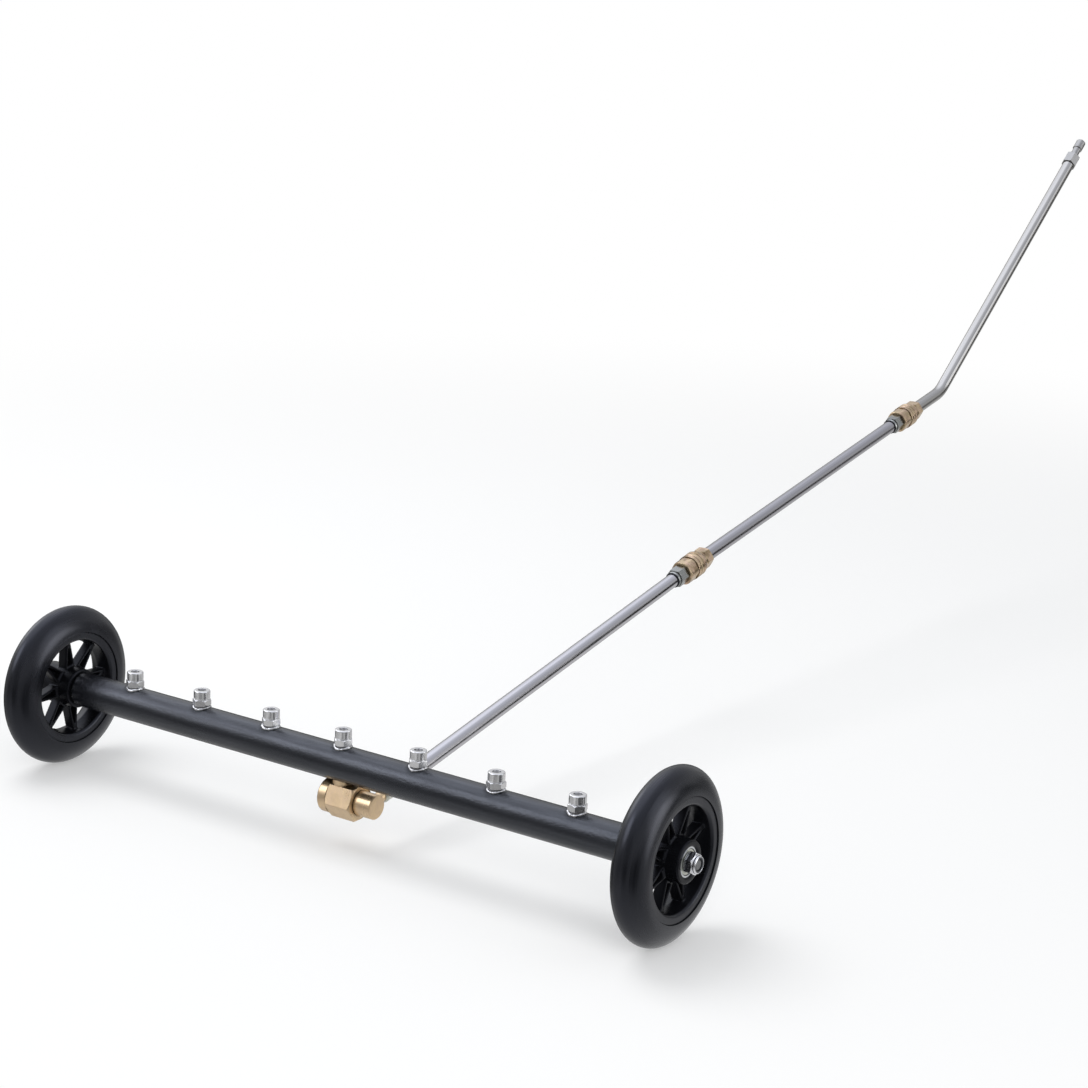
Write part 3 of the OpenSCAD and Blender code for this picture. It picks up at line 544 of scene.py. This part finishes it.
def bevelled(node, width):
    """The node with its sharp edges broken, as a deburred or tumbled part has them."""
    same_plane = math.radians(0.5)
    sharp = math.radians(24)
    piece = copy_of(node, "finished_" + node)
    bm = bmesh.new()
    bm.from_mesh(piece.data)
    bmesh.ops.dissolve_limit(bm, angle_limit=same_plane, verts=bm.verts, edges=bm.edges)
    for face in bm.faces:
        face.smooth = True
    bm.to_mesh(piece.data)
    bm.free()
    bevel = piece.modifiers.new("bevel", "BEVEL")
    bevel.width = width
    bevel.segments = 2
    bevel.limit_method = "ANGLE"
    bevel.angle_limit = sharp
    bevel.use_clamp_overlap = False
    bevel.harden_normals = True
    apply_modifiers(piece)


def moulded(node):
    """The node with its inner corners filled and its outer edges rounded, as a moulding has them.

    The rounding widens the groove between rim and tyre, so every face then moves out a little.
    """
    piece = copy_of(node, "moulded_" + node)
    remesh = piece.modifiers.new("remesh", "REMESH")
    remesh.mode = "VOXEL"
    remesh.voxel_size = 0.0007
    remesh.use_smooth_shade = True
    relax = piece.modifiers.new("relax", "SMOOTH")
    relax.factor = 0.5
    relax.iterations = 2
    swell = piece.modifiers.new("swell", "DISPLACE")
    swell.mid_level = 0
    swell.strength = 0.00032
    thin = piece.modifiers.new("thin", "DECIMATE")
    thin.ratio = 0.4
    apply_modifiers(piece)
    piece.data.shade_smooth()


def add_bead(bm, seed, place_at, bead_r, around, uneven):
    """One closed bead whose middle runs along place_at(angle), with the ripples of hand welding."""
    section = 9
    flattened = 1.15
    draw = random.Random(seed)
    start = draw.uniform(0, 2 * math.pi)
    ripples = draw.randint(15, 19)
    swells = [draw.uniform(1 - uneven, 1 + uneven) for _ in range(ripples)]
    rings = []
    for k in range(around):
        here, outward, upward = place_at(2 * math.pi * k / around)
        along = (k / around * ripples + start) % ripples
        low, part = int(along), along % 1
        swell = swells[low] * (1 - part) + swells[(low + 1) % ripples] * part
        ripple = 0.9 + 0.16 * abs(math.sin(math.pi * along))
        size = bead_r * swell * ripple
        ring = []
        for j in range(section):
            turn = 2 * math.pi * j / section
            lump = 1 + draw.uniform(-0.06, 0.06)
            spoke = outward * math.cos(turn) * flattened + upward * math.sin(turn)
            ring.append(bm.verts.new(here + spoke * size * lump))
        rings.append(ring)
    for k in range(around):
        a, b = rings[k], rings[(k + 1) % around]
        for j in range(section):
            i = (j + 1) % section
            bm.faces.new((a[j], b[j], b[i], a[i])).smooth = True
    bmesh.ops.recalc_face_normals(bm, faces=bm.faces)


def bead_piece(name, body, material, beads, bead_r, around, uneven):
    """A piece of closed beads, each given by the seed of its ripples and its place_at."""
    mesh = bpy.data.meshes.new(name)
    bm = bmesh.new()
    for seed, place_at in beads:
        add_bead(bm, seed, place_at, bead_r, around, uneven)
    bm.to_mesh(mesh)
    bm.free()
    add_piece(name, mesh, body, material)


def circle_on_bar(x, r):
    """Points of a circle round an upright axis through the bar, laid on the bar's surface."""
    middle = Vector((x, AXLE_Y, AXLE_Z))
    up = Vector((0, 0, 1))

    def place_at(angle):
        outward = Vector((math.cos(angle), math.sin(angle), 0))
        height = math.sqrt(BAR_R**2 - (r * math.sin(angle)) ** 2)
        return middle + outward * r + up * height, outward, up

    return place_at


def circle_round(middle, axis, r):
    """Points of a plain circle round an axis that is square to X."""
    side = Vector((1, 0, 0))
    other = axis.cross(side)

    def place_at(angle):
        outward = side * math.cos(angle) + other * math.sin(angle)
        return middle + outward * r, outward, axis

    return place_at


def add_ring(name, body, material, circle, bead_r, seed):
    bead_piece(name, body, material, [(seed, circle)], bead_r, around=96, uneven=0.1)


def make_braze():
    """The brazed fillet between nipple and swivel."""
    pivot = Vector((0, SWIVEL_Y, SWIVEL_Z))
    port = (Vector((0, AXLE_Y, AXLE_Z)) - pivot).normalized()
    circle = circle_round(pivot + port * BRAZE_REACH, port, BRAZE_R)
    add_ring("inlet_braze", "manifold", swivel_brass, circle, BRAZE_BEAD_R, seed=31)


def make_dark_rings():
    """A thin dark ring, in the seals' rubber, where each of the two screwed tubes enters its hexagon
    fitting.
    """
    start = Vector((WAND_X, SWIVEL_Y, SWIVEL_Z))
    lower = Vector((0, math.cos(LOWER_RISE), math.sin(LOWER_RISE)))
    middle = Vector((0, math.cos(MIDDLE_RISE), math.sin(MIDDLE_RISE)))
    first = start + lower * (LOWER_COUPLER - COLLAR_REACH)
    second = start + lower * SET_STATION + middle * (UPPER_COUPLER - COLLAR_REACH - SET_STATION)
    for name, place, axis, seed in (
        ("dark_ring_lower", first, lower, 41),
        ("dark_ring_upper", second, middle, 43),
    ):
        circle = circle_round(place, axis, DARK_RING_R)
        add_ring(name, "wand", seal_rubber, circle, DARK_RING_BEAD_R, seed)


def make_welds():
    """The hand-laid weld bead round the foot of each nozzle's bush."""
    first_seed = 11
    beads = []
    for i in range(NOZZLE_COUNT):
        x = (i - (NOZZLE_COUNT - 1) / 2) * NOZZLE_PITCH
        beads.append((first_seed + i, circle_on_bar(x, WELD_R)))
    bead_piece("bung_welds", "manifold", weld_steel, beads, WELD_BEAD_R, 72, uneven=0.38)


make_braze()
make_dark_rings()
make_welds()
for side in ("left", "right"):
    moulded("rim_" + side)
for node, width in BEVEL_WIDTHS.items():
    bevelled(node, width)


# ------------------------------------------------------------------ floor, world, lights
def make_floor():
    """A round pale floor just under the tyres, which fades to white and isn't mirrored in shiny surfaces."""
    fade_from, fade_to = 0.5, 2.2
    mesh = bpy.data.meshes.new("floor")
    bm = bmesh.new()
    bmesh.ops.create_circle(bm, cap_ends=True, radius=14, segments=96)
    bm.to_mesh(mesh)
    bm.free()
    floor = bpy.data.objects.new("floor", mesh)
    floor.location = (0, 0, -0.0005)
    scene.collection.objects.link(floor)
    g = Finish("floor_pale")
    g.set(Base_Color=(0.975, 0.975, 0.975), Roughness=0.9, Specular_IOR_Level=0.1)
    white = g.add("ShaderNodeEmission")
    g.put(white.inputs["Color"], (1, 1, 1))
    clear = g.add("ShaderNodeBsdfTransparent")
    from_camera, from_shiny = g.rays()
    fade = g.span(g.vector("LENGTH", g.place), fade_from, fade_to, 0.28, 1.0, smooth=True)
    surface = g.layered(
        g.shader.outputs[0],
        (g.math("MULTIPLY", fade, from_camera), white.outputs[0]),
        (from_shiny, clear.outputs[0]),
    )
    g.put(g.tree.nodes["Material Output"].inputs["Surface"], surface)
    floor.data.materials.append(g.material)


# soft round patches that shiny surfaces reflect: direction, edge and core as cosines from it, and the
# light that the patch adds, or takes away where it is negative
STUDIO_PATCHES = (
    ((0.00, 0.10, 1.00), 0.50, 1.00, 0.30),
    ((0.00, 0.00, -1.00), 0.25, 0.95, 0.30),
    ((-0.50, 0.05, 0.85), 0.62, 0.96, 0.90),
    ((-0.53, -0.62, 0.58), 0.94, 0.985, 2.30),
    ((0.88, 0.30, 0.36), 0.94, 0.985, 1.10),
    ((0.88, 0.47, 0.03), 0.955, 0.99, 2.60),
    ((-0.88, 0.14, 0.45), 0.95, 0.99, 1.40),
    ((-0.75, 0.60, 0.28), 0.88, 0.98, 0.15),
    ((-0.30, -0.90, -0.32), 0.88, 0.99, 0.20),
    ((0.12, 0.84, -0.52), 0.85, 0.97, 0.20),
    ((0.46, 0.80, -0.38), 0.94, 0.99, 0.14),
    ((0.35, -0.93, 0.12), 0.80, 0.97, -0.30),
    ((0.68, 0.73, 0.00), 0.967, 0.99, -0.44),
    ((0.95, -0.18, -0.28), 0.955, 0.985, -0.36),
    ((-0.95, 0.05, -0.28), 0.965, 0.99, -0.34),
    ((-0.75, 0.55, -0.32), 0.90, 0.98, -0.30),
    ((-0.53, 0.84, -0.04), 0.93, 0.99, -0.32),
    ((-0.45, -0.88, -0.03), 0.90, 0.99, -0.24),
    ((0.26, 0.96, -0.10), 0.955, 0.99, -0.26),
    ((-0.54, 0.03, -0.84), 0.95, 0.99, -0.10),
)


def make_world():
    """White for the camera, a softly graded studio for reflections, and even light for the rest."""
    world = bpy.data.worlds.new("studio")
    scene.world = world
    g = Graph(world)
    g.tree.nodes.clear()
    towards = g.add("ShaderNodeTexCoord").outputs["Generated"]
    height = g.vector("DOT_PRODUCT", towards, (0, 0, 1))
    strength = g.span(height, -0.06, 0.14, 0.40, 0.60, smooth=True)
    for direction, edge, core, light in STUDIO_PATCHES:
        cosine = g.vector("DOT_PRODUCT", towards, Vector(direction).normalized())
        strength = g.math("ADD", strength, g.span(cosine, edge, core, 0.0, light, smooth=True))
    upwards = g.span(height, 0.1, 0.8, 0.0, 1.0, smooth=True)
    daylight = g.mix(upwards, (1.0, 1.0, 1.0), (0.93, 0.96, 1.05))
    from_camera, from_shiny = g.rays()
    surface = g.layered(
        g.background((0.96, 0.98, 1.0), 0.60),
        (from_shiny, g.background(daylight, strength)),
        (from_camera, g.background((1, 1, 1))),
    )
    g.put(g.add("ShaderNodeOutputWorld").inputs["Surface"], surface)


def soft_box(name, place, target, size, power):
    """A large square lamp. Its reflection comes from the world's own patches of light."""
    light = bpy.data.lights.new(name, "AREA")
    light.shape = "SQUARE"
    light.size = size
    light.energy = power
    lamp = bpy.data.objects.new(name, light)
    lamp.location = place
    lamp.rotation_euler = (Vector(target) - Vector(place)).to_track_quat("-Z", "Y").to_euler()
    lamp.visible_glossy = False
    scene.collection.objects.link(lamp)


make_floor()
make_world()
soft_box("key", place=(-1.35, -0.5, 2.7), target=(0, -0.2, 0.1), size=1.8, power=38)
soft_box("fill", place=(1.8, -2.4, 1.4), target=(0, -0.4, 0.1), size=1.4, power=20)
scene.view_settings.view_transform = "Standard"
